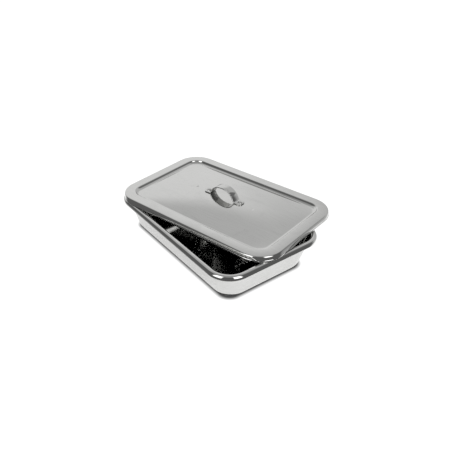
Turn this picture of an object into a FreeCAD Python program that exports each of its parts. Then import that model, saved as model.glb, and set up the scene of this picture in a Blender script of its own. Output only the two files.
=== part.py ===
"""Instrument tray with a loose lid: a drawn stainless pan, a pressed lid and a riveted strap handle.

Millimetres, +Z up. The origin is the centre of the pan's flat base, on the surface it stands on.
X runs along the tray's long side and Y along its short side. The lid lies askew on the rim.
"""
import FreeCAD, Part

import math
import os

from FreeCAD import Placement, Rotation, Vector

# ---- driving dimensions ----
SHEET = 0.8                 # stainless sheet of the pan and the lid

TRAY_LENGTH = 306.0         # over the rim
TRAY_WIDTH = 196.0          # over the rim
TRAY_HEIGHT = 55.0          # base to rim crest
TRAY_CORNER = 37.5          # outer corner radius of the rim
RIM_WIDTH = 9.5             # outer edge of the rim to the inner face of the wall
RIM_DROP = 6.5              # crest down to the start of the curled edge
RIM_OUTER_BEND = 4.5
RIM_INNER_BEND = 4.0
RIM_CURL = 1.3              # outer radius of the curled edge
BASE_INSET = 20.0           # edge of the rim to where the wall would meet the base
BASE_BEND = 10.0            # outer radius between wall and base

LID_OVERHANG = 2.7          # how far the closed lid reaches past the rim all round
LID_HEIGHT = 9.5            # lower edge of the skirt to the top of the border
LID_BORDER = 18.9           # outer edge to the top of the step
LID_STEP = 4.5              # border down to the foot of the step
LID_STEP_RUN = 3.5
LID_STEP_BEND = 1.6
LID_BORDER_FALL = 0.4       # the border falls this much towards the shoulder
LID_SHOULDER = 2.2
LID_SKIRT_LEAN = 1.2        # the skirt leans out this much on its way down
LID_CROWN = 9.0             # rise of the panel's middle above the foot of the step
HEM_WIDTH = 1.6             # the skirt's edge is folded double
HEM_HEIGHT = 2.4
LID_TURN = 13.5             # degrees, anticlockwise from above
LID_SHIFT = (-13.0, 27.8)   # centre of the lid from the centre of the tray
LID_REST_GAP = 0.3          # lower edge of the skirt above the rim crest

STRAP_WIDTH = 15.0
STRAP_THICK = 1.5
ARCH_SPAN = 50.0            # over the outside of the legs, at the feet
ARCH_TOP_SPAN = 34.0        # where the legs would meet the top
ARCH_HEIGHT = 18.5          # over the outside of the strap
ARCH_BEND = 23.5
FOOT_LENGTH = 13.0
FOOT_BEND = 1.5
RIVET_FROM_MIDDLE = 32.3
RIVET_SHANK = 4.0
RIVET_HOLE = 4.1
RIVET_HEAD = 7.6
RIVET_HEAD_HIGH = 2.0
RIVET_TAIL = 6.6
RIVET_TAIL_HIGH = 1.2
RIVET_TAIL_GAP = 0.05

# ---- derived dimensions ----
LID_LENGTH = TRAY_LENGTH + 2 * LID_OVERHANG
LID_WIDTH = TRAY_WIDTH + 2 * LID_OVERHANG
LID_CORNER = TRAY_CORNER + LID_OVERHANG
PANEL_INSET = LID_BORDER + LID_STEP_RUN
PANEL_HALF_X = LID_LENGTH / 2 - PANEL_INSET
PANEL_HALF_Y = LID_WIDTH / 2 - PANEL_INSET
PANEL_FOOT = LID_HEIGHT - LID_STEP
FOOT_SLOPE = 2 * LID_CROWN * RIVET_FROM_MIDDLE / PANEL_HALF_X ** 2


# ---- outlines ----
def rounded_rectangle(half_x, half_y, radius, z):
    """Closed wire of four straight edges and four corner arcs, starting on the +X side."""
    slant = radius * math.sqrt(0.5)
    edges = []
    for quarter in range(4):
        reach, along = (half_x, half_y) if quarter % 2 == 0 else (half_y, half_x)
        flat = along - radius
        turn = Rotation(Vector(0, 0, 1), 90 * quarter)
        start = turn.multVec(Vector(reach, -flat, z))
        end = turn.multVec(Vector(reach, flat, z))
        corner_middle = turn.multVec(Vector(reach - radius + slant, flat + slant, z))
        corner_end = turn.multVec(Vector(reach - radius, along, z))
        edges.append(Part.LineSegment(start, end).toShape())
        edges.append(Part.Arc(end, corner_middle, corner_end).toShape())
    return Part.Wire(edges)


def bent_line(points, radii):
    """Straight runs through (x, z) points in the XZ plane, joined by tangent arcs."""
    corners = [Vector(x, 0, z) for x, z in points]
    edges = []
    last = corners[0]
    for before, corner, after, radius in zip(corners, corners[1:], corners[2:], radii):
        back = (before - corner).normalize()
        ahead = (after - corner).normalize()
        half_angle = back.getAngle(ahead) / 2
        arc_start = corner + back * (radius / math.tan(half_angle))
        arc_end = corner + ahead * (radius / math.tan(half_angle))
        inward = (back + ahead).normalize()
        arc_middle = corner + inward * (radius / math.sin(half_angle) - radius)
        edges.append(Part.LineSegment(last, arc_start).toShape())
        edges.append(Part.Arc(arc_start, arc_middle, arc_end).toShape())
        last = arc_end
    edges.append(Part.LineSegment(last, corners[-1]).toShape())
    return Part.Wire(edges)


def right_side(points, thick):
    """The points moved to the right of their direction of travel, mitred at the corners."""
    corners = [Vector(x, 0, z) for x, z in points]
    runs = [(b - a).normalize() for a, b in zip(corners, corners[1:])]
    rights = [Vector(run.z, 0, -run.x) for run in runs]
    moved = [corners[0] + rights[0] * thick]
    for corner, one, two in zip(corners[1:], rights, rights[1:]):
        middle = (one + two).normalize()
        moved.append(corner + middle * (thick / middle.dot(one)))
    moved.append(corners[-1] + rights[-1] * thick)
    return [(corner.x, corner.z) for corner in moved]


def turns_right(points):
    """For each inner corner, whether the line turns right there."""
    corners = [Vector(x, 0, z) for x, z in points]
    runs = [b - a for a, b in zip(corners, corners[1:])]
    return [one.x * two.z - one.z * two.x < 0 for one, two in zip(runs, runs[1:])]


def sheet_section(points, radii, thick):
    """Face of a bent sheet, whose one side is the bent line and whose other side is to its right."""
    inner_radii = [
        radius - thick if right else radius + thick for radius, right in zip(radii, turns_right(points))
    ]
    near = bent_line(points, radii)
    far_points = right_side(points, thick)
    far = bent_line(far_points, inner_radii)
    ends = [
        Part.LineSegment(Vector(points[k][0], 0, points[k][1]), Vector(far_points[k][0], 0, far_points[k][1]))
        for k in (0, -1)
    ]
    edges = near.Edges + far.Edges + [end.toShape() for end in ends]
    return Part.Face(Part.Wire(Part.__sortEdges__(edges)))


def around(section, half_x, half_y, radius):
    """Sweeps a section round a rounded rectangle. In the section, x is minus the inset from it."""
    path = rounded_rectangle(half_x, half_y, radius, 0)
    placed = section.OuterWire.copy()
    placed.translate(Vector(half_x, radius - half_y, 0))
    sweep = Part.BRepOffsetAPI.MakePipeShell(path)
    sweep.setFrenetMode(True)
    sweep.add(placed)
    sweep.build()
    sweep.makeSolid()
    return Part.Solid(sweep.shape().Shells[0])


# ---- pan ----
def wall_frustum(inset_top, inset_base, z_base, base_bend):
    """Tapered block with rounded corners and a rounded lower edge, up to just under the rim."""
    top_z = TRAY_HEIGHT - RIM_INNER_BEND
    corner = TRAY_CORNER - inset_top
    top = rounded_rectangle(TRAY_LENGTH / 2 - inset_top, TRAY_WIDTH / 2 - inset_top, corner, top_z)
    base = rounded_rectangle(TRAY_LENGTH / 2 - inset_base, TRAY_WIDTH / 2 - inset_base, corner, z_base)
    block = Part.makeLoft([base, top], True, True)
    lower_edges = [edge for edge in block.Edges if edge.BoundBox.ZMax < z_base + 0.01]
    return block.makeFillet(base_bend, lower_edges)


def make_pan():
    """One drawn sheet: flat base, tapered wall and a rounded rim with a curled edge."""
    outer = wall_frustum(RIM_WIDTH - SHEET, BASE_INSET, 0, BASE_BEND)
    inner = wall_frustum(RIM_WIDTH, BASE_INSET + SHEET, SHEET, BASE_BEND - SHEET)
    curl_low = TRAY_HEIGHT - RIM_DROP - RIM_CURL
    rim_line = [
        (-RIM_WIDTH, TRAY_HEIGHT - RIM_INNER_BEND - SHEET),
        (-RIM_WIDTH, TRAY_HEIGHT),
        (0, TRAY_HEIGHT),
        (0, curl_low),
        (-2 * RIM_CURL, curl_low),
        (-2 * RIM_CURL, curl_low + 1.5 * RIM_CURL),
    ]
    rim = sheet_section(rim_line, [RIM_INNER_BEND, RIM_OUTER_BEND, RIM_CURL, RIM_CURL], SHEET)
    rim_ring = around(rim, TRAY_LENGTH / 2, TRAY_WIDTH / 2, TRAY_CORNER)
    return outer.cut(inner).fuse(rim_ring).removeSplitter()


# ---- lid, drawn about its own centre with its lower edge at z = 0 ----
def crown_surface(z, rise):
    """Pillow-shaped surface, level along all four sides of the panel and highest in the middle."""
    surface = Part.BezierSurface()
    surface.increase(2, 2)
    for row, x in enumerate((-PANEL_HALF_X, 0, PANEL_HALF_X)):
        for column, y in enumerate((-PANEL_HALF_Y, 0, PANEL_HALF_Y)):
            middle = row == 1 and column == 1
            surface.setPole(row + 1, column + 1, Vector(x, y, z + (4 * rise if middle else 0)))
    return surface.toShape()


def panel_rise(x):
    """Height of the panel's upper face above the lid's lower edge, along the middle line."""
    return PANEL_FOOT + LID_CROWN * (1 - (x / PANEL_HALF_X) ** 2)


def make_lid():
    """One pressed sheet: crowned panel, step, border, shoulder and a short skirt with a hem."""
    skirt_inset = (HEM_WIDTH - SHEET) / 2
    lid_line = [
        (-PANEL_INSET - 3, PANEL_FOOT),
        (-PANEL_INSET, PANEL_FOOT),
        (-LID_BORDER, LID_HEIGHT),
        (-skirt_inset - LID_SKIRT_LEAN, LID_HEIGHT - LID_BORDER_FALL),
        (-skirt_inset, HEM_HEIGHT / 2),
    ]
    section = sheet_section(lid_line, [LID_STEP_BEND, LID_STEP_BEND + SHEET, LID_SHOULDER], SHEET)
    ring = around(section, LID_LENGTH / 2, LID_WIDTH / 2, LID_CORNER)
    hem_line = [(-HEM_WIDTH, 0.8), (-HEM_WIDTH, 0), (0, 0), (0, HEM_HEIGHT), (-HEM_WIDTH, HEM_HEIGHT)]
    hem_outline = bent_line(hem_line + [(-HEM_WIDTH, 0.8)], [0.7, 0.7, 0.7, 0.7])
    hem = around(Part.Face(hem_outline), LID_LENGTH / 2, LID_WIDTH / 2, LID_CORNER)
    sunk = 0.3
    top = crown_surface(PANEL_FOOT - sunk, LID_CROWN + sunk)
    sheet = top.extrude(Vector(0, 0, -SHEET))
    trim_inset = PANEL_INSET + 1.0
    trim = rounded_rectangle(
        LID_LENGTH / 2 - trim_inset, LID_WIDTH / 2 - trim_inset, LID_CORNER - trim_inset, -LID_HEIGHT
    )
    panel = sheet.common(Part.Face(trim).extrude(Vector(0, 0, 4 * LID_HEIGHT)))
    lid = ring.multiFuse([hem, panel])
    for side in (-1, 1):
        lid = lid.cut(on_foot(Part.makeCylinder(RIVET_HOLE / 2, 6, Vector(0, 0, -3)), side, 0))
    return lid.removeSplitter()


# ---- handle ----
def on_foot(shape, side, height):
    """Stands a shape on the panel at the left or right rivet, square to the sloping foot."""
    tilt = Rotation(Vector(0, 1, 0), side * math.degrees(math.atan(FOOT_SLOPE)))
    place = Vector(side * RIVET_FROM_MIDDLE, 0, panel_rise(RIVET_FROM_MIDDLE))
    moved = shape.copy()
    moved.Placement = Placement(place + tilt.multVec(Vector(0, 0, height)), tilt).multiply(shape.Placement)
    return moved


def make_strap():
    """Flat strip bent into an arch, with a foot at each end that follows the panel's slope."""
    leg = ARCH_SPAN / 2
    foot_end = leg + FOOT_LENGTH
    foot_top = panel_rise(RIVET_FROM_MIDDLE) + STRAP_THICK * math.hypot(1, FOOT_SLOPE)

    def foot_height(x):
        return foot_top - FOOT_SLOPE * (x - RIVET_FROM_MIDDLE)

    top = panel_rise(0) + ARCH_HEIGHT
    half = [(foot_end, foot_height(foot_end)), (leg, foot_height(leg)), (ARCH_TOP_SPAN / 2, top)]
    line = [(-x, z) for x, z in half] + half[::-1]
    section = sheet_section(line, [FOOT_BEND, ARCH_BEND, ARCH_BEND, FOOT_BEND], STRAP_THICK)
    strap = section.extrude(Vector(0, STRAP_WIDTH, 0))
    strap.translate(Vector(0, -STRAP_WIDTH / 2, 0))
    ends = [edge for edge in strap.Edges if is_foot_corner(edge, foot_end)]
    strap = strap.makeFillet(0.3 * STRAP_WIDTH, ends)
    for side in (-1, 1):
        strap = strap.cut(on_foot(Part.makeCylinder(RIVET_HOLE / 2, 6, Vector(0, 0, -3)), side, 0))
    return strap


def is_foot_corner(edge, foot_end):
    """The short upright edges at the four free corners of the feet."""
    box = edge.BoundBox
    return box.YLength < 0.01 and box.XLength < 0.2 and min(abs(box.XMin), abs(box.XMax)) > foot_end - 0.2


def make_rivet(side):
    """Domed head above the foot, shank through strap and lid, flattened tail under the lid."""
    tail_top = -SHEET - RIVET_TAIL_GAP
    base = RIVET_HEAD / 2
    ball = (base ** 2 + RIVET_HEAD_HIGH ** 2) / (2 * RIVET_HEAD_HIGH)
    dome = Part.makeSphere(ball, Vector(0, 0, STRAP_THICK + RIVET_HEAD_HIGH - ball))
    head = dome.common(Part.makeCylinder(base, RIVET_HEAD_HIGH, Vector(0, 0, STRAP_THICK)))
    tail = Part.makeCylinder(RIVET_TAIL / 2, RIVET_TAIL_HIGH, Vector(0, 0, tail_top - RIVET_TAIL_HIGH))
    lower = [edge for edge in tail.Edges if edge.BoundBox.ZMax < tail_top - RIVET_TAIL_HIGH + 0.01]
    tail = tail.makeFillet(0.4, lower)
    shank_low = tail_top - 0.5 * RIVET_TAIL_HIGH
    shank_high = STRAP_THICK + 0.5 * RIVET_HEAD_HIGH
    shank = Part.makeCylinder(RIVET_SHANK / 2, shank_high - shank_low, Vector(0, 0, shank_low))
    return on_foot(head.multiFuse([shank, tail]).removeSplitter(), side, 0)


def lay_on_tray(shape):
    """Puts something drawn on the lid where the askew lid lies."""
    lift = TRAY_HEIGHT + LID_REST_GAP
    laid = shape.copy()
    lie = Placement(Vector(LID_SHIFT[0], LID_SHIFT[1], lift), Rotation(Vector(0, 0, 1), LID_TURN))
    laid.Placement = lie.multiply(shape.Placement)
    return laid


nodes = {
    "tray_pan": make_pan(),
    "lid_sheet": lay_on_tray(make_lid()),
    "handle_strap": lay_on_tray(make_strap()),
    "handle_rivet_left": lay_on_tray(make_rivet(-1)),
    "handle_rivet_right": lay_on_tray(make_rivet(1)),
}

os.makedirs("parts", exist_ok=True)
for name, shape in nodes.items():
    shape.exportStep("parts/" + name + ".step")
    box = shape.BoundBox
    size = (round(box.XLength, 1), round(box.YLength, 1), round(box.ZLength, 1))
    print(name, shape.isValid(), len(shape.Solids), "solid,", round(shape.Volume), "mm3,", size)
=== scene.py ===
# %% [markdown]
# Instrument tray with a loose lid, in bright stainless sheet.
# The object is a drawn pan, a pressed lid that lies askew across its rim, and a strap handle held
# to the lid by two rivets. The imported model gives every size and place. This lesson rebuilds the
# five pieces as clean meshes whose faces follow the bends of the sheet, because a mirror finish
# shows every uneven face, and then gives them a polished steel finish and a small studio.

# %% Load the frame
import math

import bmesh
import bpy
from mathutils import Matrix, Vector


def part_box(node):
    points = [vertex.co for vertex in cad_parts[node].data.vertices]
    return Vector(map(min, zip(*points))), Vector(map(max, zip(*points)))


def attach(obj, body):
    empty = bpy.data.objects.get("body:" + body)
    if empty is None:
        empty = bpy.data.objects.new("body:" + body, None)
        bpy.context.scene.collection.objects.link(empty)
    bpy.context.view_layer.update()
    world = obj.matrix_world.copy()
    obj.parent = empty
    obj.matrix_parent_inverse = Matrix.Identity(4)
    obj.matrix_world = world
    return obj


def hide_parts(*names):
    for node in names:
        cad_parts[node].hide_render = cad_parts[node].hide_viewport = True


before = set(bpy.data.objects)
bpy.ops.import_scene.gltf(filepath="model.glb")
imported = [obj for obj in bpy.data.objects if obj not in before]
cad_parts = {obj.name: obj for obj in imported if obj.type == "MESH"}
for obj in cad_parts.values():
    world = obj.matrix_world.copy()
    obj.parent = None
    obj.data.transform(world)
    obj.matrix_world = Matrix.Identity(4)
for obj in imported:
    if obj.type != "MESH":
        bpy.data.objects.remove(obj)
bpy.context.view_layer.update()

MM = 0.001

# %% [markdown]
# Where everything is.
# The pan stands on the floor with its centre at the origin. The lid is turned a little, so its
# box is wider than the lid itself. The lid is a rectangle with round corners, and for such a shape
# the two sides of its box are enough to work out the turn, so it is measured and not typed in.

# %% Sizes of the pan and place of the lid
pan_low, pan_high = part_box("tray_pan")
PAN_HALF_X, PAN_HALF_Y, PAN_TOP = pan_high.x / MM, pan_high.y / MM, pan_high.z / MM
SHEET = 0.8
PAN_CORNER = 37.5
LID_OVERHANG = 2.7
LID_HALF_X = PAN_HALF_X + LID_OVERHANG
LID_HALF_Y = PAN_HALF_Y + LID_OVERHANG
LID_CORNER = PAN_CORNER + LID_OVERHANG

lid_low, lid_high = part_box("lid_sheet")
lid_middle = (lid_low + lid_high) / 2
flat_x, flat_y = LID_HALF_X - LID_CORNER, LID_HALF_Y - LID_CORNER
spread_x = (lid_high.x - lid_low.x) / 2 / MM - LID_CORNER
spread_y = (lid_high.y - lid_low.y) / 2 / MM - LID_CORNER
lid_turn = math.atan2(flat_x * spread_y - flat_y * spread_x, flat_x * spread_x - flat_y * spread_y)
lid_place = Matrix.Translation((lid_middle.x, lid_middle.y, lid_low.z)) @ Matrix.Rotation(lid_turn, 4, "Z")
print("lid turned by", round(math.degrees(lid_turn), 2), "degrees")

# %% [markdown]
# The camera.
# It looks down at the tray's near right corner from a little under a metre away, a third of the
# way up from the floor, with a lens a bit shorter than a portrait lens.

# %% Camera
CAMERA_TARGET = Vector((6.25, 17.23, 25.8)) * MM
CAMERA_DISTANCE = 874.5 * MM
CAMERA_AZIMUTH, CAMERA_HEIGHT, CAMERA_ROLL = math.radians(52.29), math.radians(33.19), math.radians(0.71)
CAMERA_LENS = 42.3


def direction(azimuth, height):
    """Unit vector towards an azimuth (0 is the near long side, +X a quarter turn) and height, in radians."""
    flat = math.cos(height)
    return Vector((math.sin(azimuth) * flat, -math.cos(azimuth) * flat, math.sin(height)))


camera_data = bpy.data.cameras.new("studio_camera")
camera_data.lens = CAMERA_LENS
camera = bpy.data.objects.new("studio_camera", camera_data)
bpy.context.scene.collection.objects.link(camera)
back = direction(CAMERA_AZIMUTH, CAMERA_HEIGHT)
right = Vector((math.cos(CAMERA_AZIMUTH), math.sin(CAMERA_AZIMUTH), 0))
up = back.cross(right)
rolled_right = right * math.cos(CAMERA_ROLL) + up * math.sin(CAMERA_ROLL)
rolled_up = up * math.cos(CAMERA_ROLL) - right * math.sin(CAMERA_ROLL)
camera.matrix_world = Matrix.Translation(CAMERA_TARGET + back * CAMERA_DISTANCE) @ Matrix(
    (rolled_right, rolled_up, back)
).transposed().to_4x4()
bpy.context.scene.camera = camera
print("camera stands at", [round(c, 3) for c in camera.location])

# %% [markdown]
# Bent sheet.
# Pan, lid and strap are all flat stock bent or drawn over a tool, so one section line with tangent
# arcs describes each. A modifier could round the corners afterwards, but exact arcs give even
# reflections. Each sample also keeps the direction to its right, so the other face of the sheet is
# found by stepping one thickness that way.

# %% A line with bends
TURN_STEP = math.radians(8)


def bent_line(points, radii):
    """Samples ((x, z), (right x, right z)) along straight runs through the points, joined by tangent arcs."""
    corners = [Vector(p) for p in points]
    samples = []

    def add(point, run):
        samples.append((point.copy(), Vector((run.y, -run.x))))

    first = (corners[1] - corners[0]).normalized()
    add(corners[0], first)
    for before, corner, after, radius in zip(corners, corners[1:], corners[2:], radii):
        run_in = (corner - before).normalized()
        run_out = (after - corner).normalized()
        turn = math.atan2(run_in.x * run_out.y - run_in.y * run_out.x, run_in.dot(run_out))
        side = 1 if turn > 0 else -1
        start = corner - run_in * (radius * math.tan(abs(turn) / 2))
        hub = start + Vector((-run_in.y, run_in.x)) * (radius * side)
        steps = max(2, math.ceil(abs(turn) / TURN_STEP))
        for step in range(steps + 1):
            swing = Matrix.Rotation(turn * step / steps, 2)
            add(hub + swing @ (start - hub), swing @ run_in)
    last = (corners[-1] - corners[-2]).normalized()
    add(corners[-1], last)
    return samples


# %% [markdown]
# Rings of sheet.
# Pan and lid are the same section all the way round a rectangle with round corners. Each sample of
# the section becomes one ring of points, and neighbouring rings are joined with four-sided faces,
# so that the faces run along and across the bends as the metal does. Inside the panel the rings
# shrink to a narrow slot, which is closed by joining its two long sides.

# %% Rings and skins
RING_LONG, RING_SHORT, RING_CORNER = 36, 24, 14


def ring_points(half_x, half_y, radius):
    """Points (x, y) round a rectangle with round corners, anticlockwise from the middle of the +X side."""
    quarter = []
    for step in range(RING_SHORT // 2):
        quarter.append((half_x, (half_y - radius) * step / (RING_SHORT / 2)))
    for step in range(RING_CORNER):
        angle = math.pi / 2 * step / RING_CORNER
        round_x, round_y = radius * math.cos(angle), radius * math.sin(angle)
        quarter.append((half_x - radius + round_x, half_y - radius + round_y))
    for step in range(RING_LONG // 2):
        quarter.append(((half_x - radius) * (1 - step / (RING_LONG / 2)), half_y))
    half = quarter + [(0, half_y)] + [(-x, y) for x, y in reversed(quarter[1:])]
    return half + [(-x, -y) for x, y in half]


def new_piece(name, mesh_build, place=None):
    """Turns a finished bmesh in millimetres into a smooth object in metres, moved to its place."""
    mesh = bpy.data.meshes.new(name)
    bmesh.ops.recalc_face_normals(mesh_build, faces=mesh_build.faces)
    mesh_build.to_mesh(mesh)
    mesh_build.free()
    mesh.transform(Matrix.Scale(MM, 4))
    if place is not None:
        mesh.transform(place)
    mesh.shade_smooth()
    piece = bpy.data.objects.new(name, mesh)
    bpy.context.scene.collection.objects.link(piece)
    return piece


def close_ring(build, ring):
    """Joins the two long halves of a ring that is symmetric about the X axis."""
    count = len(ring)
    for k in range(count // 2):
        corners = [ring[k], ring[k + 1], ring[(count - k - 1) % count], ring[(count - k) % count]]
        build.faces.new(list(dict.fromkeys(corners)))


def skin(rings):
    """Joins rings of (x, y, z) points into one closed skin; the first and last ring are closed across."""
    build = bmesh.new()
    rows = [[build.verts.new(point) for point in ring] for ring in rings]
    for one, two in zip(rows, rows[1:]):
        count = len(one)
        for k in range(count):
            build.faces.new((one[k], one[(k + 1) % count], two[(k + 1) % count], two[k]))
    close_ring(build, rows[0])
    close_ring(build, rows[-1])
    return build


# %% [markdown]
# The pan.
# It is drawn from one sheet: a flat base, walls that lean outwards, and a rim that is rolled out
# and curled under so that no cut edge is left. The section line runs from the middle of the base
# up the inside, over the rim and into the curl, and the outside is one sheet thickness away. The
# walls keep the same corner radius from top to bottom, as a drawing tool leaves them.

# %% Pan section
RIM_WIDTH, RIM_INNER_BEND, RIM_OUTER_BEND = 8.6, 4.0, 4.5
RIM_DROP, RIM_CURL = 6.5, 1.3
BASE_INSET, BASE_BEND = 20.8, 9.2
BASE_RINGS = (90, 70, 52, 40)
BASE_FLAT = 14
WALL_START = 2
CORNER_TIGHTENING, SMALLEST_CORNER = 0.75, 1.0

curl_low = PAN_TOP - RIM_DROP - RIM_CURL
pan_line = bent_line(
    [
        (-BASE_INSET - BASE_FLAT, SHEET),
        (-BASE_INSET, SHEET),
        (-RIM_WIDTH, PAN_TOP),
        (0, PAN_TOP),
        (0, curl_low),
        (-2 * RIM_CURL, curl_low),
        (-2 * RIM_CURL, curl_low + 1.5 * RIM_CURL),
    ],
    [BASE_BEND, RIM_INNER_BEND, RIM_OUTER_BEND, RIM_CURL, RIM_CURL],
)
wall_foot = max(-point.x for point, _ in pan_line if point.y > SHEET + WALL_START)


def pan_ring(point, away=(0, 0)):
    """One ring of the pan at a section point, moved one thickness along away for the outer face."""
    inset = -point[0]
    corner = PAN_CORNER - min(inset, RIM_WIDTH) - CORNER_TIGHTENING * max(0, inset - wall_foot)
    corner = max(corner, SMALLEST_CORNER) + SHEET * away[0]
    x, z = point[0] + SHEET * away[0], point[1] + SHEET * away[1]
    return [(px, py, z) for px, py in ring_points(PAN_HALF_X + x, PAN_HALF_Y + x, corner)]


inside = [pan_ring((-inset, SHEET)) for inset in BASE_RINGS] + [pan_ring(p) for p, _ in pan_line]
outside = [pan_ring((-inset, 0)) for inset in BASE_RINGS] + [pan_ring(p, away) for p, away in pan_line]
pan = new_piece("pan", skin(inside + outside[::-1]))
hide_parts("tray_pan")
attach(pan, "tray")
print("pan:", len(pan.data.vertices), "points in", len(inside) + len(outside), "rings")

# %% [markdown]
# The lid.
# The lid is pressed from one sheet: a panel that rises gently to its middle, a shallow gutter with a
# wide soft bend, a step up to a border that falls a little outwards, a small shoulder, and a short
# skirt that leans in at its top and is folded double at its edge. The panel could be a flat plate
# with a bump, but its gentle rise is what bends the reflections, so it is real geometry.

# %% Lid section
LID_HEIGHT, LID_BORDER, LID_STEP, LID_STEP_RUN = 9.5, 18.9, 4.5, 3.5
STEP_FOOT_BEND, STEP_TOP_BEND, SHOULDER_BEND = 8.5, 2.2, 2.2
BORDER_FALL, HEM_WIDTH, HEM_HEIGHT, HEM_BEND = 0.4, 1.6, 2.4, 0.7
SKIRT_LEAN = 1.2
LID_CROWN = 9.0
GUTTER = 4.0
STEP_LEAD, PANEL_LEAD, SLOT_HALF = 5.0, 6.0, 1.5
RING_STEP_LEAST, RING_STEP_MOST, RING_STEP_SHARE = 0.45, 3.4, 0.16
CORNER_SHARE = 0.22
SKIRT_END, HEM_START, HEM_LIP, HEM_LIP_BEND = HEM_HEIGHT + 0.6, HEM_HEIGHT + 0.5, HEM_HEIGHT - 0.1, 0.3
PANEL_FOOT = LID_HEIGHT - LID_STEP
PANEL_INSET = LID_BORDER + LID_STEP_RUN
PANEL_HALF_X, PANEL_HALF_Y = LID_HALF_X - PANEL_INSET, LID_HALF_Y - PANEL_INSET
skirt_x = -(HEM_WIDTH - SHEET) / 2

lid_line = bent_line(
    [
        (-PANEL_INSET - STEP_LEAD, PANEL_FOOT),
        (-PANEL_INSET, PANEL_FOOT),
        (-LID_BORDER, LID_HEIGHT),
        (skirt_x - SKIRT_LEAN, LID_HEIGHT - BORDER_FALL),
        (skirt_x, SKIRT_END),
    ],
    [STEP_FOOT_BEND, STEP_TOP_BEND, SHOULDER_BEND],
)
hem_line = bent_line(
    [
        (skirt_x, HEM_START),
        (0, HEM_LIP),
        (0, 0),
        (-HEM_WIDTH, 0),
        (-HEM_WIDTH, HEM_LIP),
        (skirt_x - SHEET, HEM_START),
    ],
    [HEM_LIP_BEND, HEM_BEND, HEM_BEND, HEM_LIP_BEND],
)


def panel_rise(x, y):
    """How far the panel stands above its foot at (x, y), easing in over the gutter."""
    across = 1 - (y / PANEL_HALF_Y) ** 2
    along = 1 - (x / PANEL_HALF_X) ** 2
    edge = min(PANEL_HALF_X - abs(x), PANEL_HALF_Y - abs(y))
    ease = min(1.0, max(0.0, edge / GUTTER))
    return LID_CROWN * max(0, across) * max(0, along) * ease * ease * (3 - 2 * ease)


def lid_ring(point, away=(0, 0)):
    """One ring of the lid at a section point; inside the step the ring follows the panel's rise."""
    inset = -point[0] - SHEET * away[0]
    z = point[1] + SHEET * away[1]
    corner = max(LID_CORNER - inset, CORNER_SHARE * (LID_HALF_Y - inset))
    ring = ring_points(LID_HALF_X - inset, LID_HALF_Y - inset, corner)
    return [(x, y, z + panel_rise(x, y)) for x, y in ring]


panel_insets = [PANEL_INSET + PANEL_HALF_Y - SLOT_HALF]
while panel_insets[-1] > PANEL_INSET + PANEL_LEAD:
    depth = panel_insets[-1] - PANEL_INSET
    ring_step = min(RING_STEP_MOST, max(RING_STEP_LEAST, RING_STEP_SHARE * depth))
    panel_insets.append(panel_insets[-1] - ring_step)
upper = [lid_ring((-inset, PANEL_FOOT)) for inset in panel_insets] + [lid_ring(p) for p, _ in lid_line]
under = [lid_ring((-inset, PANEL_FOOT - SHEET)) for inset in panel_insets]
under += [lid_ring(p, away) for p, away in lid_line]
hem = [lid_ring(p) for p, _ in hem_line]
lid = new_piece("lid", skin(upper + hem + under[::-1]), lid_place)
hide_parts("lid_sheet")
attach(lid, "lid")
print("lid:", len(lid.data.vertices), "points in", len(upper) + len(hem) + len(under), "rings")

# %% [markdown]
# The strap handle.
# It is a strip of steel bent to an arch with a foot at each end, its long edges slightly rounded
# by tumbling. A curve with a bevel could make it, but the feet have rounded ends, so each station
# along the strip is a small loop whose width follows the rounding of the foot.

# %% Strap
STRAP_WIDTH, STRAP_THICK, STRAP_EDGE = 15.0, 1.5, 0.45
ARCH_SPAN, ARCH_TOP_SPAN, ARCH_HEIGHT, ARCH_BEND = 50.0, 34.0, 18.5, 23.5
FOOT_LENGTH, FOOT_BEND, FOOT_CORNER = 13.0, 1.5, 4.5
RIVET_FROM_MIDDLE = 32.3

foot_slope = 2 * LID_CROWN * RIVET_FROM_MIDDLE / PANEL_HALF_X ** 2
rivet_panel = PANEL_FOOT + panel_rise(RIVET_FROM_MIDDLE, 0)
foot_top = rivet_panel + STRAP_THICK * math.hypot(1, foot_slope)
leg_x, foot_end = ARCH_SPAN / 2, ARCH_SPAN / 2 + FOOT_LENGTH
arch_top = PANEL_FOOT + panel_rise(0, 0) + ARCH_HEIGHT
half_line = [
    (foot_end, foot_top - foot_slope * (foot_end - RIVET_FROM_MIDDLE)),
    (leg_x, foot_top - foot_slope * (leg_x - RIVET_FROM_MIDDLE)),
    (ARCH_TOP_SPAN / 2, arch_top),
]
strap_line = bent_line(
    [(-x, z) for x, z in half_line] + half_line[::-1], [FOOT_BEND, ARCH_BEND, ARCH_BEND, FOOT_BEND]
)


def with_foot_stations(samples):
    """Adds stations near both ends, closer together towards the tip, for the rounded foot."""
    extra = [FOOT_CORNER * (1 - math.cos(math.radians(a))) for a in range(10, 91, 10)]
    (start, away), (end, away_end) = samples[0], samples[-1]
    run = Vector((-away.y, away.x))
    run_end = Vector((-away_end.y, away_end.x))
    head = [(start + run * e, away) for e in extra]
    tail = [(end - run_end * e, away_end) for e in reversed(extra)]
    return [samples[0]] + head + samples[1:-1] + tail + [samples[-1]]


def strap_half_width(from_end):
    """Half the strip's width at a distance from its tip."""
    if from_end >= FOOT_CORNER:
        return STRAP_WIDTH / 2
    rest = FOOT_CORNER - from_end
    return STRAP_WIDTH / 2 - FOOT_CORNER + math.sqrt(FOOT_CORNER ** 2 - rest ** 2)


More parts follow.
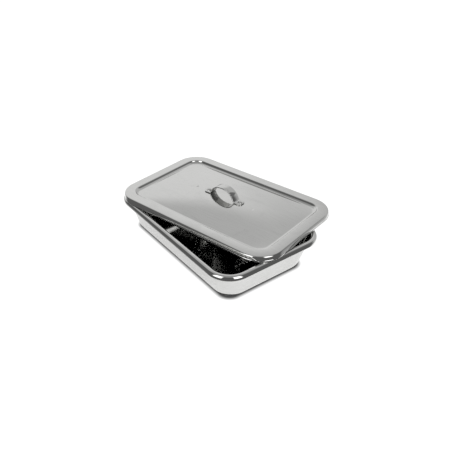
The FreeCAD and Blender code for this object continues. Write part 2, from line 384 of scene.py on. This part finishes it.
def strap_loop(point, away, half_width):
    """Loop round the strip at one station: a thin rectangle with softened corners."""
    loop = []
    for side, top in ((1, True), (-1, True), (-1, False), (1, False)):
        arc = range(0, 91, 30) if (side > 0) != top else range(90, -1, -30)
        for degrees in arc:
            a = math.radians(degrees)
            y = side * (half_width - STRAP_EDGE * (1 - math.sin(a)))
            sunk = STRAP_EDGE * (1 - math.cos(a))
            depth = sunk if top else STRAP_THICK - sunk
            loop.append((point.x + away.x * depth, y, point.y + away.y * depth))
    return loop


stations = with_foot_stations(strap_line)
strap_build = bmesh.new()
loops = []
for point, away in stations:
    tip = abs(abs(point.x) - foot_end) * math.hypot(1, foot_slope)
    loop = strap_loop(point, away, strap_half_width(tip if abs(point.x) > leg_x else FOOT_CORNER))
    loops.append([strap_build.verts.new(corner) for corner in loop])
for one, two in zip(loops, loops[1:]):
    for k in range(len(one)):
        strap_build.faces.new((one[k - 1], one[k], two[k], two[k - 1]))
strap_build.faces.new(loops[0])
strap_build.faces.new(loops[-1][::-1])
strap = new_piece("strap_handle", strap_build, lid_place)
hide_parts("handle_strap")
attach(strap, "lid")
print("strap:", len(stations), "stations")

# %% [markdown]
# The rivets.
# Each rivet has a low domed head on the strap's foot and a flattened tail under the lid. The
# section is turned about the rivet's own axis, as the rivet is a round part.

# %% Rivets
HEAD_RADIUS, HEAD_HIGH, SHANK_RADIUS = 3.8, 2.0, 2.0
TAIL_RADIUS, TAIL_HIGH, TAIL_GAP = 3.3, 1.2, 0.05
RIVET_SIDES, DOME_STEPS = 40, 8
HEAD_TUCK, HEAD_GAP = 0.12, 0.02
TAIL_ROUND, TAIL_ROUND_HALFWAY = 0.4, 0.12
ball = (HEAD_RADIUS ** 2 + HEAD_HIGH ** 2) / (2 * HEAD_HIGH)
dome_half = math.asin(HEAD_RADIUS / ball)


def rivet_section():
    """Radius and height from the top of the head down to the bottom of the tail."""
    hub = STRAP_THICK + HEAD_HIGH - ball
    dome = [dome_half * step / DOME_STEPS for step in range(DOME_STEPS + 1)]
    line = [(ball * math.sin(a), hub + ball * math.cos(a)) for a in dome]
    line += [(HEAD_RADIUS - HEAD_TUCK, STRAP_THICK + HEAD_GAP), (SHANK_RADIUS, STRAP_THICK)]
    top = -SHEET - TAIL_GAP
    bottom = top - TAIL_HIGH
    line += [(SHANK_RADIUS, top), (TAIL_RADIUS, top), (TAIL_RADIUS, bottom + TAIL_ROUND)]
    line += [(TAIL_RADIUS - TAIL_ROUND_HALFWAY, bottom + TAIL_ROUND_HALFWAY)]
    return line + [(TAIL_RADIUS - TAIL_ROUND, bottom), (0, bottom)]


def make_rivet(name, node, side):
    """One rivet, square to the foot at the left (-1) or right (1) end of the strap."""
    build = bmesh.new()
    section = rivet_section()
    rows = []
    for radius, z in section:
        count = 1 if radius == 0 else RIVET_SIDES
        angles = [2 * math.pi * k / RIVET_SIDES for k in range(count)]
        rows.append([build.verts.new((radius * math.cos(a), radius * math.sin(a), z)) for a in angles])
    for one, two in zip(rows, rows[1:]):
        for k in range(RIVET_SIDES):
            corners = [one[(k - 1) % len(one)], one[k % len(one)], two[k % len(two)], two[(k - 1) % len(two)]]
            build.faces.new(list(dict.fromkeys(corners)))
    stand = Matrix.Translation((side * RIVET_FROM_MIDDLE * MM, 0, rivet_panel * MM))
    tilt = Matrix.Rotation(side * math.atan(foot_slope), 4, "Y")
    rivet = new_piece(name, build, lid_place @ stand @ tilt)
    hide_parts(node)
    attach(rivet, "lid")
    return rivet


left_rivet = make_rivet("rivet_left", "handle_rivet_left", -1)
right_rivet = make_rivet("rivet_right", "handle_rivet_right", 1)
print("rivet head is", 2 * HEAD_RADIUS, "mm across")

# %% [markdown]
# Polish and handling.
# Bright stainless sheet is never a perfect mirror. It carries a fine grain from the polishing wheel,
# long thin scratches from being stacked and wiped, and dull patches from fingers. All five pieces
# share these marks, so they live in one node group, and each material gives it its own amounts. The
# pattern is worked out in the piece's own space, so it travels with the piece.

# %% Shared marks of polishing and handling
SMEAR_DARKENS, BLUE_SHARE = 0.03, 0.985
SCRATCH_TURN, SCRATCH_STRETCH = 0.5, (12.0, 260.0, 260.0)
SCRATCH_ROUGHENS, SCRATCH_HEIGHT, GRAIN_HEIGHT = 0.12, -0.01, 0.004


def group_with_sockets(name, inputs, outputs):
    """A new shader node group with inputs (name, default) and outputs (name, socket type)."""
    group = bpy.data.node_groups.new(name, "ShaderNodeTree")
    for label, default in inputs:
        kind = "NodeSocketVector" if isinstance(default, tuple) else "NodeSocketFloat"
        socket = group.interface.new_socket(label, in_out="INPUT", socket_type=kind)
        socket.default_value = default
    for label, kind in outputs:
        group.interface.new_socket(label, in_out="OUTPUT", socket_type=kind)
    return group, group.nodes.new("NodeGroupInput"), group.nodes.new("NodeGroupOutput")


def node(tree, kind, values=(), **settings):
    """Adds a node, sets its properties and the default values of its numbered or named inputs."""
    made = tree.nodes.new("ShaderNode" + kind)
    for key, value in settings.items():
        setattr(made, key, value)
    for key, value in dict(values).items():
        made.inputs[key].default_value = value
    return made


def join(tree, source, target):
    """Links an output to an input; each is given as (node, socket name or number)."""
    tree.links.new(source[0].outputs[source[1]], target[0].inputs[target[1]])


def build_handled_steel():
    """Colour, roughness and height of polished steel that has been wiped, stacked and touched."""
    group, given, result = group_with_sockets(
        "handled_steel",
        [
            ("Place", (0.0, 0.0, 0.0)),
            ("Grain stretch", (1.0, 1.0, 1.0)),
            ("Bright", 0.66),
            ("Dull", 0.58),
            ("Smooth", 0.07),
            ("Smeared", 0.2),
            ("Scratches", 0.3),
            ("Sheet wave", 0.5),
        ],
        [("Color", "NodeSocketColor"), ("Roughness", "NodeSocketFloat"), ("Height", "NodeSocketFloat")],
    )
    stretched = node(group, "VectorMath", operation="MULTIPLY")
    join(group, (given, "Place"), (stretched, 0))
    join(group, (given, "Grain stretch"), (stretched, 1))
    grain = node(group, "TexNoise", {"Scale": 1.0, "Detail": 5.0, "Roughness": 0.65})
    join(group, (stretched, 0), (grain, "Vector"))

    smear = node(group, "TexNoise", {"Scale": 26.0, "Detail": 4.0, "Roughness": 0.6, "Distortion": 0.8})
    join(group, (given, "Place"), (smear, "Vector"))
    smear_mask = node(group, "MapRange", {"From Min": 0.48, "From Max": 0.72},
                      interpolation_type="SMOOTHSTEP")
    join(group, (smear, "Fac"), (smear_mask, "Value"))

    scuff_turn = node(group, "VectorRotate", {"Angle": SCRATCH_TURN}, rotation_type="Z_AXIS")
    join(group, (given, "Place"), (scuff_turn, "Vector"))
    scuff_stretch = node(group, "VectorMath", {1: SCRATCH_STRETCH}, operation="MULTIPLY")
    join(group, (scuff_turn, 0), (scuff_stretch, 0))
    scuff = node(group, "TexVoronoi", {"Scale": 1.0, "Randomness": 1.0}, feature="DISTANCE_TO_EDGE")
    join(group, (scuff_stretch, 0), (scuff, "Vector"))
    scuff_line = node(group, "MapRange", {"From Min": 0.0, "From Max": 0.03, "To Min": 1.0, "To Max": 0.0})
    join(group, (scuff, "Distance"), (scuff_line, "Value"))
    scuff_patch = node(group, "TexNoise", {"Scale": 14.0, "Detail": 2.0})
    join(group, (given, "Place"), (scuff_patch, "Vector"))
    scuff_where = node(group, "MapRange", {"From Min": 0.52, "From Max": 0.68})
    join(group, (scuff_patch, "Fac"), (scuff_where, "Value"))
    scratched = node(group, "Math", operation="MULTIPLY")
    join(group, (scuff_line, 0), (scratched, 0))
    join(group, (scuff_where, 0), (scratched, 1))
    scratches = node(group, "Math", operation="MULTIPLY")
    join(group, (scratched, 0), (scratches, 0))
    join(group, (given, "Scratches"), (scratches, 1))

    tone = node(group, "MapRange", {"From Min": 0.3, "From Max": 0.7})
    join(group, (grain, "Fac"), (tone, "Value"))
    join(group, (given, "Dull"), (tone, "To Min"))
    join(group, (given, "Bright"), (tone, "To Max"))
    smeared_tone = node(group, "Math", {1: SMEAR_DARKENS}, operation="MULTIPLY")
    join(group, (smear_mask, 0), (smeared_tone, 0))
    final_tone = node(group, "Math", operation="SUBTRACT")
    join(group, (tone, 0), (final_tone, 0))
    join(group, (smeared_tone, 0), (final_tone, 1))
    warm = node(group, "Math", {1: BLUE_SHARE}, operation="MULTIPLY")
    join(group, (final_tone, 0), (warm, 0))
    colour = node(group, "CombineColor")
    join(group, (final_tone, 0), (colour, 0))
    join(group, (final_tone, 0), (colour, 1))
    join(group, (warm, 0), (colour, 2))
    join(group, (colour, 0), (result, "Color"))

    dulled = node(group, "MapRange")
    join(group, (smear_mask, 0), (dulled, "Value"))
    join(group, (given, "Smooth"), (dulled, "To Min"))
    join(group, (given, "Smeared"), (dulled, "To Max"))
    rough = node(group, "Math", {1: SCRATCH_ROUGHENS}, operation="MULTIPLY_ADD")
    join(group, (scratches, 0), (rough, 0))
    join(group, (dulled, 0), (rough, 2))
    join(group, (rough, 0), (result, "Roughness"))

    wave = node(group, "TexNoise", {"Scale": 18.0, "Detail": 1.0})
    join(group, (given, "Place"), (wave, "Vector"))
    waved = node(group, "Math", operation="MULTIPLY")
    join(group, (wave, "Fac"), (waved, 0))
    join(group, (given, "Sheet wave"), (waved, 1))
    grained = node(group, "Math", {1: GRAIN_HEIGHT}, operation="MULTIPLY_ADD")
    join(group, (grain, "Fac"), (grained, 0))
    join(group, (waved, 0), (grained, 2))
    height = node(group, "Math", {1: SCRATCH_HEIGHT}, operation="MULTIPLY_ADD")
    join(group, (scratches, 0), (height, 0))
    join(group, (grained, 0), (height, 2))
    join(group, (height, 0), (result, "Height"))
    return group


handled_steel = build_handled_steel()
print("node group", handled_steel.name, "has", len(handled_steel.nodes), "nodes")

# %% [markdown]
# The steels.
# One metal, three histories. The pan's walls were polished lengthwise, the lid's panel along its
# long side, and the strap along its bend. A metallic surface with a light grey colour gives the
# reflections their strength, and the group's height feeds a bump for marks too fine to model.

# %% Steel materials
BUMP_DISTANCE = 0.0004


def steel(name, turn, bump_strength, **amounts):
    """A polished steel material whose grain is turned about the vertical by an angle."""
    material = bpy.data.materials.new(name)
    material.use_nodes = True
    tree = material.node_tree
    shader = tree.nodes["Principled BSDF"]
    shader.inputs["Metallic"].default_value = 1.0
    place = node(tree, "TexCoord")
    turned = node(tree, "VectorRotate", {"Angle": -turn}, rotation_type="Z_AXIS")
    join(tree, (place, "Object"), (turned, "Vector"))
    marks = node(tree, "Group", node_tree=handled_steel)
    for key, value in amounts.items():
        marks.inputs[key.replace("_", " ")].default_value = value
    join(tree, (turned, 0), (marks, "Place"))
    bump = node(tree, "Bump", {"Strength": bump_strength, "Distance": BUMP_DISTANCE})
    join(tree, (marks, "Height"), (bump, "Height"))
    join(tree, (marks, "Color"), (shader, "Base Color"))
    join(tree, (marks, "Roughness"), (shader, "Roughness"))
    join(tree, (bump, 0), (shader, "Normal"))
    return material


pan_steel = steel("pan_steel", 0, 0.5, Grain_stretch=(30, 30, 1500), Bright=0.66, Dull=0.58,
                  Smooth=0.06, Smeared=0.10, Scratches=0.35, Sheet_wave=0.25)
lid_steel = steel("lid_steel", lid_turn, 0.5, Grain_stretch=(25, 1300, 300), Bright=0.65, Dull=0.60,
                  Smooth=0.07, Smeared=0.12, Scratches=0.25, Sheet_wave=0.2)
handle_steel = steel("handle_steel", lid_turn, 0.6, Grain_stretch=(40, 1600, 40), Bright=0.66, Dull=0.54,
                     Smooth=0.09, Smeared=0.2, Scratches=0.5, Sheet_wave=0.1)
rivet_steel = steel("rivet_steel", lid_turn, 0.6, Grain_stretch=(500, 500, 500), Bright=0.66, Dull=0.50,
                    Smooth=0.08, Smeared=0.2, Scratches=0.4, Sheet_wave=0.0)
for piece, material in (
    (pan, pan_steel),
    (lid, lid_steel),
    (strap, handle_steel),
    (left_rivet, rivet_steel),
    (right_rivet, rivet_steel),
):
    piece.data.materials.append(material)
print("steels:", [m.name for m in bpy.data.materials])

# %% [markdown]
# The floor.
# A plain pale floor carries the tray. It is a light table: it glows by itself, so that the walls,
# which lean outwards and mirror it, stay bright down to their foot. Close round the foot the glow
# stops in a band that sits a little off centre, which paints a contact shadow on the floor. Bright
# metal mirrors whatever lies around it, and in a studio the white area is small and dark cards
# stand further out, which is what gives the rim its dark band. So the camera sees a wide floor, and
# reflections see a second, white sheet. That sheet lies off centre, fades out past the tray, glows
# more towards the right, and has a narrower painted shadow round the foot than the floor has.

# %% Floor and white sheet
FLOOR_REACH, FLOOR_LEVEL = 12.0, -0.0004
FLOOR_WHITE, FLOOR_GLOW = 0.12, 1.0
FOOT_HALF_X, FOOT_HALF_Y, FOOT_CORNER_RADIUS = 127.0, 72.0, 16.0
# The glow stops in a band round the foot that sits a little off centre: a painted contact shadow.
PAINTED_SHADOW_SHIFT = (2.2, -1.8)
FLOOR_PAINTED_SHADOW = (0.5, 9.5)
SHEET_PAINTED_SHADOW = (-4.0, 2.0)
SHEET_FULL, SHEET_GONE = 12.0, 45.0
SHEET_HALF_X, SHEET_HALF_Y, SHEET_CORNER = 242.0, 174.0, 60.0
SHEET_SHIFT = (-88.0, 76.0)
SHEET_REACH, SHEET_LEVEL = 0.6, -0.0003
SHEET_WHITE, SHEET_GLOW_LEFT, SHEET_GLOW_RIGHT = 0.4, 0.69, 0.88
GLOW_GROWS_FROM, GLOW_GROWS_TO = 0.06, 0.15


def flat_square(name, half, z):
    """A level square about the origin, in metres, which belongs to the studio."""
    build = bmesh.new()
    corners = [build.verts.new((half * x, half * y, z)) for x, y in ((-1, -1), (1, -1), (1, 1), (-1, 1))]
    build.faces.new(corners)
    mesh = bpy.data.meshes.new(name)
    build.to_mesh(mesh)
    build.free()
    square = bpy.data.objects.new(name, mesh)
    bpy.context.scene.collection.objects.link(square)
    return square


def distance_outside(tree, half_x, half_y, corner, shift=(0, 0)):
    """Nodes that give the distance in millimetres from a rectangle with round corners, on the floor."""
    where = node(tree, "NewGeometry")
    in_mm = node(tree, "VectorMath", {1: (1 / MM, 1 / MM, 0.0)}, operation="MULTIPLY")
    join(tree, (where, "Position"), (in_mm, 0))
    shifted = node(tree, "VectorMath", {1: (shift[0], shift[1], 0.0)}, operation="SUBTRACT")
    join(tree, (in_mm, 0), (shifted, 0))
    folded = node(tree, "VectorMath", operation="ABSOLUTE")
    join(tree, (shifted, 0), (folded, 0))
    past = node(tree, "VectorMath", {1: (half_x - corner, half_y - corner, 0.0)}, operation="SUBTRACT")
    join(tree, (folded, 0), (past, 0))
    outside = node(tree, "VectorMath", {1: (0.0, 0.0, 0.0)}, operation="MAXIMUM")
    join(tree, (past, 0), (outside, 0))
    length = node(tree, "VectorMath", operation="LENGTH")
    join(tree, (outside, 0), (length, 0))
    distance = node(tree, "Math", {1: corner}, operation="SUBTRACT")
    join(tree, (length, "Value"), (distance, 0))
    return distance


def table_paint(name, white, strength, painted_shadow):
    """Matt white that glows, except in a painted shadow close round the tray's foot."""
    material = bpy.data.materials.new(name)
    material.use_nodes = True
    tree = material.node_tree
    shader = tree.nodes["Principled BSDF"]
    shader.inputs["Base Color"].default_value = (white, white, white, 1)
    shader.inputs["Roughness"].default_value = 1.0
    shader.inputs["Specular IOR Level"].default_value = 0.0
    shader.inputs["Emission Strength"].default_value = strength
    # Glow that fades out in a band round the foot, which paints the contact shadow.
    distance = distance_outside(tree, FOOT_HALF_X, FOOT_HALF_Y, FOOT_CORNER_RADIUS, PAINTED_SHADOW_SHIFT)
    glow_outside_painted_shadow = node(tree, "MapRange", {"From Min": painted_shadow[0], "From Max": painted_shadow[1]},
                interpolation_type="SMOOTHSTEP")
    join(tree, (distance, 0), (glow_outside_painted_shadow, "Value"))
    join(tree, (glow_outside_painted_shadow, 0), (shader, "Emission Color"))
    return material, tree, shader


def brighter_to_the_right(tree, shader, left_strength, right_strength):
    """Lets the glow grow along X, from the left strength to the right one."""
    where = node(tree, "NewGeometry")
    parts = node(tree, "SeparateXYZ")
    join(tree, (where, "Position"), (parts, 0))
    grow = node(tree, "MapRange", {
        "From Min": GLOW_GROWS_FROM, "From Max": GLOW_GROWS_TO,
        "To Min": left_strength, "To Max": right_strength,
    })
    join(tree, (parts, "X"), (grow, "Value"))
    join(tree, (grow, 0), (shader, "Emission Strength"))


floor = flat_square("studio_floor", FLOOR_REACH, FLOOR_LEVEL)
floor.visible_glossy = False
floor.data.materials.append(table_paint("floor_paint", FLOOR_WHITE, FLOOR_GLOW, FLOOR_PAINTED_SHADOW)[0])

sheet = flat_square("white_sheet", SHEET_REACH, SHEET_LEVEL)
for kind in ("camera", "diffuse", "shadow", "transmission", "volume_scatter"):
    setattr(sheet, "visible_" + kind, False)
# The sheet's glow stops in a narrower band round the foot: a painted shadow, which the walls mirror as a dark
# line at their foot.
sheet_paint, tree, shader = table_paint("sheet_paint", SHEET_WHITE, SHEET_GLOW_LEFT, SHEET_PAINTED_SHADOW)
brighter_to_the_right(tree, shader, SHEET_GLOW_LEFT, SHEET_GLOW_RIGHT)
distance = distance_outside(tree, SHEET_HALF_X, SHEET_HALF_Y, SHEET_CORNER, SHEET_SHIFT)
fade = node(tree, "MapRange", {"From Min": SHEET_FULL, "From Max": SHEET_GONE, "To Min": 1.0, "To Max": 0.0},
            interpolation_type="SMOOTHSTEP")
join(tree, (distance, 0), (fade, "Value"))
join(tree, (fade, 0), (shader, "Alpha"))
sheet.data.materials.append(sheet_paint)
print("floor reaches", FLOOR_REACH, "m")

# %% [markdown]
# The studio around it.
# Two tall soft lights stand left and right of the camera, a large pale backdrop stands behind the
# tray, and the space on the camera's side is dark. A dimmer ceiling hangs over all of it, and a
# narrow dark card stands at the right. They are painted on the sky as soft-edged patches by azimuth
# and height, so that they are as large and as far away as needed. The camera itself sees plain
# white, so only the reflections show the studio.

# %% Studio sky
def build_sky_patch():
    """1 inside a patch of sky and 0 outside it, with soft edges; angles in degrees."""
    group, given, result = group_with_sockets(
        "sky_patch",
        [
            ("Direction", (0.0, 0.0, 1.0)),
            ("Azimuth", 0.0),
            ("Half width", 20.0),
            ("Side softness", 8.0),
            ("Low", 0.0),
            ("Low softness", 10.0),
            ("High", 45.0),
            ("High softness", 10.0),
        ],
        [("Inside", "NodeSocketFloat")],
    )
    back_turn = node(group, "Math", {1: math.radians(-1)}, operation="MULTIPLY")
    join(group, (given, "Azimuth"), (back_turn, 0))
    facing = node(group, "VectorRotate", rotation_type="Z_AXIS")
    join(group, (given, "Direction"), (facing, "Vector"))
    join(group, (back_turn, 0), (facing, "Angle"))
    parts = node(group, "SeparateXYZ")
    join(group, (facing, 0), (parts, 0))
    ahead = node(group, "Math", {1: -1.0}, operation="MULTIPLY")
    join(group, (parts, 1), (ahead, 0))
    azimuth = node(group, "Math", operation="ARCTAN2")
    join(group, (parts, 0), (azimuth, 0))
    join(group, (ahead, 0), (azimuth, 1))
    height = node(group, "Math", operation="ARCSINE")
    join(group, (parts, 2), (height, 0))
    in_degrees = []
    for source in (azimuth, height):
        scaled = node(group, "Math", {1: math.degrees(1)}, operation="MULTIPLY")
        join(group, (source, 0), (scaled, 0))
        in_degrees.append(scaled)
    off_side = node(group, "Math", operation="ABSOLUTE")
    join(group, (in_degrees[0], 0), (off_side, 0))

    def edge(value, value_socket, limit, softness, rising):
        """Smooth step of a value about a limit."""
        half = node(group, "Math", {1: 0.5}, operation="MULTIPLY")
        join(group, (given, softness), (half, 0))
        start = node(group, "Math", operation="SUBTRACT")
        end = node(group, "Math", operation="ADD")
        for made in (start, end):
            join(group, (given, limit), (made, 0))
            join(group, (half, 0), (made, 1))
        step = node(group, "MapRange", {"To Min": 0.0 if rising else 1.0, "To Max": 1.0 if rising else 0.0},
                    interpolation_type="SMOOTHSTEP")
        join(group, (value, value_socket), (step, "Value"))
        join(group, (start, 0), (step, "From Min"))
        join(group, (end, 0), (step, "From Max"))
        return step

    sides = edge(off_side, 0, "Half width", "Side softness", False)
    low = edge(in_degrees[1], 0, "Low", "Low softness", True)
    high = edge(in_degrees[1], 0, "High", "High softness", False)
    both = node(group, "Math", operation="MULTIPLY")
    join(group, (sides, 0), (both, 0))
    join(group, (low, 0), (both, 1))
    inside_all = node(group, "Math", operation="MULTIPLY")
    join(group, (both, 0), (inside_all, 0))
    join(group, (high, 0), (inside_all, 1))
    join(group, (inside_all, 0), (result, "Inside"))
    return group


sky_patch = build_sky_patch()
SKY_BASE, SKY_SEEN = 0.62, 1.05
# name, azimuth, half width, side softness, low, low softness, high, high softness, brightness
SKY_PATCHES = [
    ("ceiling", 0, 200, 10, 58, 16, 120, 10, 0.40),
    ("backdrop", -108, 30, 24, 2, 12, 38, 12, 0.91),
    ("dark_room", 43, 108, 22, -95, 2, 58, 16, 0.14),
    ("left_light", 4, 18, 9, -2, 26, 58, 12, 2.4),
    ("right_light", 89, 16, 9, -4, 24, 58, 12, 2.6),
    ("dark_card", 152, 16, 8, 24, 8, 52, 8, 0.20),
]
world = bpy.data.worlds.new("studio_sky")
bpy.context.scene.world = world
world.use_nodes = True
tree = world.node_tree
sky = tree.nodes["Background"]
look = node(tree, "TexCoord")
level = None
for name, azimuth, half, soft, low, low_soft, high, high_soft, bright in SKY_PATCHES:
    patch = node(tree, "Group", {
        "Azimuth": azimuth, "Half width": half, "Side softness": soft,
        "Low": low, "Low softness": low_soft, "High": high, "High softness": high_soft,
    }, node_tree=sky_patch, label=name)
    join(tree, (look, "Generated"), (patch, "Direction"))
    blend = node(tree, "Mix", {"A": SKY_BASE, "B": bright}, data_type="FLOAT")
    join(tree, (patch, "Inside"), (blend, "Factor"))
    if level is not None:
        join(tree, (level, 0), (blend, "A"))
    level = blend
join(tree, (level, 0), (sky, "Strength"))
pale = node(tree, "Background", {"Color": (1.0, 1.0, 1.0, 1.0), "Strength": SKY_SEEN})
light_path = node(tree, "LightPath")
seen = node(tree, "MixShader")
join(tree, (light_path, "Is Camera Ray"), (seen, 0))
join(tree, (sky, 0), (seen, 1))
join(tree, (pale, 0), (seen, 2))
join(tree, (seen, 0), (tree.nodes["World Output"], "Surface"))
sky.inputs["Color"].default_value = (1.0, 1.0, 1.0, 1.0)
print("sky patches:", [p[0] for p in SKY_PATCHES])

# %% [markdown]
# The overhead light.
# A large light high on the left adds some light to the floor, and to the white sheet that the steel
# mirrors. The steel doesn't mirror the light itself, as the polish would show its shape.

# %% Overhead light
TOP_POWER, TOP_SIZE, TOP_DISTANCE = 9.0, 0.9, 1.6
TOP_AZIMUTH, TOP_HEIGHT = math.radians(-110), math.radians(66)
top_data = bpy.data.lights.new("overhead_light", "AREA")
top_data.energy, top_data.size = TOP_POWER, TOP_SIZE
top_light = bpy.data.objects.new("overhead_light", top_data)
top_light.location = direction(TOP_AZIMUTH, TOP_HEIGHT) * TOP_DISTANCE
top_light.rotation_mode = "QUATERNION"
top_light.rotation_quaternion = top_light.location.to_track_quat("Z", "Y")
top_light.visible_glossy = False
top_light.visible_camera = False
bpy.context.scene.collection.objects.link(top_light)
bpy.context.scene.view_settings.view_transform = "Standard"
print("overhead light of", TOP_POWER, "W")
